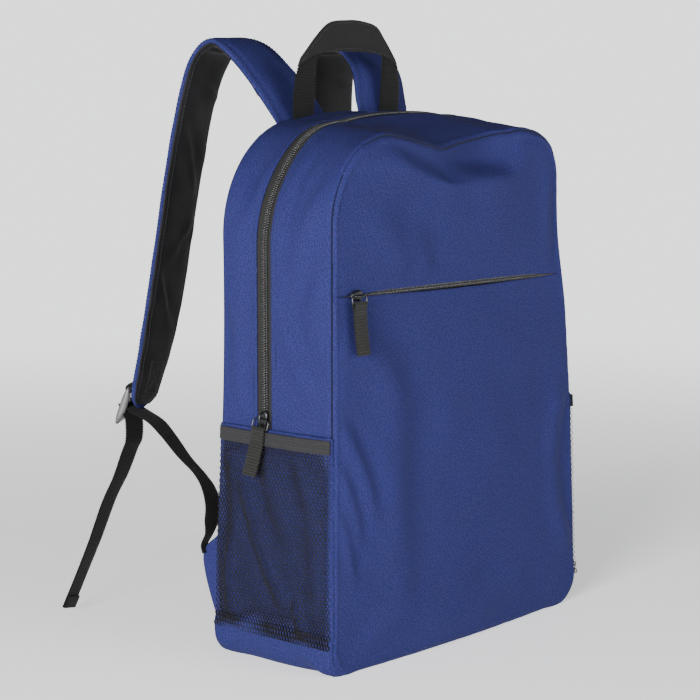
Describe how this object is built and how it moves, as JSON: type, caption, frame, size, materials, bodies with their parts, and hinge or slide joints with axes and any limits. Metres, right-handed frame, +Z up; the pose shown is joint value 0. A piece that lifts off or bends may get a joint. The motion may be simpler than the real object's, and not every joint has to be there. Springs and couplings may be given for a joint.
{
  "type": "school backpack",
  "caption": "Zipped school backpack with a front pocket, mesh side pockets, a grab handle and padded shoulder straps with adjustable webbing.",
  "frame": {"origin": "centre of the bottom panel, on the surface that the pack stands on", "axes": "+Z up; the front pocket faces -Y and the wearer's back +Y; the wearer's left side, where both sliders are parked, is -X"},
  "size_m": [0.3377, 0.3114, 0.4951],
  "materials": {
    "navy_fabric": "navy 600-denier polyester weave with a soft coated back",
    "black_fabric": "black smooth woven polyester",
    "lining": "thin dark polyester lining",
    "foam": "light closed-cell foam sheet",
    "mesh": "black knitted hexagonal mesh",
    "elastic": "charcoal woven elastic binding",
    "webbing": "black ribbed polypropylene webbing",
    "zip_tape": "black woven zip tape",
    "zip_coil": "black nylon coil",
    "zip_metal": "dark grey die-cast and wire, slightly glossy",
    "buckle_plastic": "grey moulded acetal"
  },
  "bodies": {
    "bag": {"front_panel_upper": "navy_fabric", "front_panel_lower": "navy_fabric", "front_pocket_wall": "lining", "gusset_front": "navy_fabric", "gusset_rear": "navy_fabric", "bottom_panel": "navy_fabric", "side_panel_left": "navy_fabric", "side_panel_right": "navy_fabric", "back_panel_cover": "black_fabric", "back_foam": "foam", "back_lining": "lining", "front_seam_binding": "zip_tape", "back_seam_binding": "zip_tape", "main_zip_tape_front": "zip_tape", "main_zip_tape_rear": "zip_tape", "main_zip_coil": "zip_coil", "main_zip_stop_left": "zip_metal", "main_zip_stop_right": "zip_metal", "pocket_zip_tape_upper": "zip_tape", "pocket_zip_tape_lower": "zip_tape", "pocket_zip_coil": "zip_coil", "pocket_zip_stop_left": "zip_metal", "pocket_zip_stop_right": "zip_metal", "mesh_pocket_left": "mesh", "mesh_pocket_right": "mesh", "elastic_binding_left": "elastic", "elastic_binding_right": "elastic", "anchor_tab_left": "navy_fabric", "anchor_tab_right": "navy_fabric", "adjuster_webbing_left": "webbing", "adjuster_webbing_right": "webbing"},
    "main_slider": {"main_zip_slider": "zip_metal"},
    "main_pull": {"main_slider_bail": "zip_metal", "main_pull_tab": "webbing"},
    "pocket_slider": {"pocket_zip_slider": "zip_metal"},
    "pocket_pull": {"pocket_slider_bail": "zip_metal", "pocket_pull_tab": "webbing"},
    "grab_handle": {"grab_handle_webbing": "webbing", "grab_handle_grip_front": "webbing", "grab_handle_grip_rear": "webbing"},
    "strap_left": {"strap_left_lining": "black_fabric", "strap_left_foam": "foam", "strap_left_cover": "navy_fabric", "lock_anchor_left": "webbing"},
    "lock_left": {"ladder_lock_left": "buckle_plastic", "webbing_tail_left": "webbing"},
    "strap_right": {"strap_right_lining": "black_fabric", "strap_right_foam": "foam", "strap_right_cover": "navy_fabric", "lock_anchor_right": "webbing"},
    "lock_right": {"ladder_lock_right": "buckle_plastic", "webbing_tail_right": "webbing"}
  },
  "joints": [
    {"name": "main_zip_slide", "type": "slide", "parent": "bag", "child": "main_slider", "axis": [0, 0, 1], "range_m": [0, 0.12]},
    {"name": "main_pull_swing", "type": "hinge", "parent": "main_slider", "child": "main_pull", "pos_m": [-0.1535, 0.009, 0.1905], "axis": [0, 1, 0], "range_deg": [0, 120]},
    {"name": "pocket_zip_slide", "type": "slide", "parent": "bag", "child": "pocket_slider", "axis": [1, 0, 0], "range_m": [0, 0.252]},
    {"name": "pocket_pull_swing", "type": "hinge", "parent": "pocket_slider", "child": "pocket_pull", "pos_m": [-0.1265, -0.0659, 0.287], "axis": [-1, 0, 0], "range_deg": [0, 150]},
    {"name": "grab_handle_fold", "type": "hinge", "parent": "bag", "child": "grab_handle", "pos_m": [0, 0.0575, 0.4245], "axis": [1, 0, 0], "range_deg": [-8, 80]},
    {"name": "strap_left_swing", "type": "hinge", "parent": "bag", "child": "strap_left", "pos_m": [0, 0.064, 0.4185], "axis": [1, 0, 0], "range_deg": [-12, 6], "stiffness_Nm_per_rad": 2, "deforming": ["adjuster_webbing_left"]},
    {"name": "lock_left_tilt", "type": "hinge", "parent": "strap_left", "child": "lock_left", "pos_m": [-0.11525, 0.19758, 0.19216], "axis": [1, 0, 0], "range_deg": [-10, 10]},
    {"name": "strap_right_swing", "type": "hinge", "parent": "bag", "child": "strap_right", "pos_m": [0, 0.064, 0.4185], "axis": [1, 0, 0], "range_deg": [-12, 6], "stiffness_Nm_per_rad": 2, "deforming": ["adjuster_webbing_right"]},
    {"name": "lock_right_tilt", "type": "hinge", "parent": "strap_right", "child": "lock_right", "pos_m": [0.11525, 0.19758, 0.19216], "axis": [1, 0, 0], "range_deg": [-10, 10]}
  ]
}
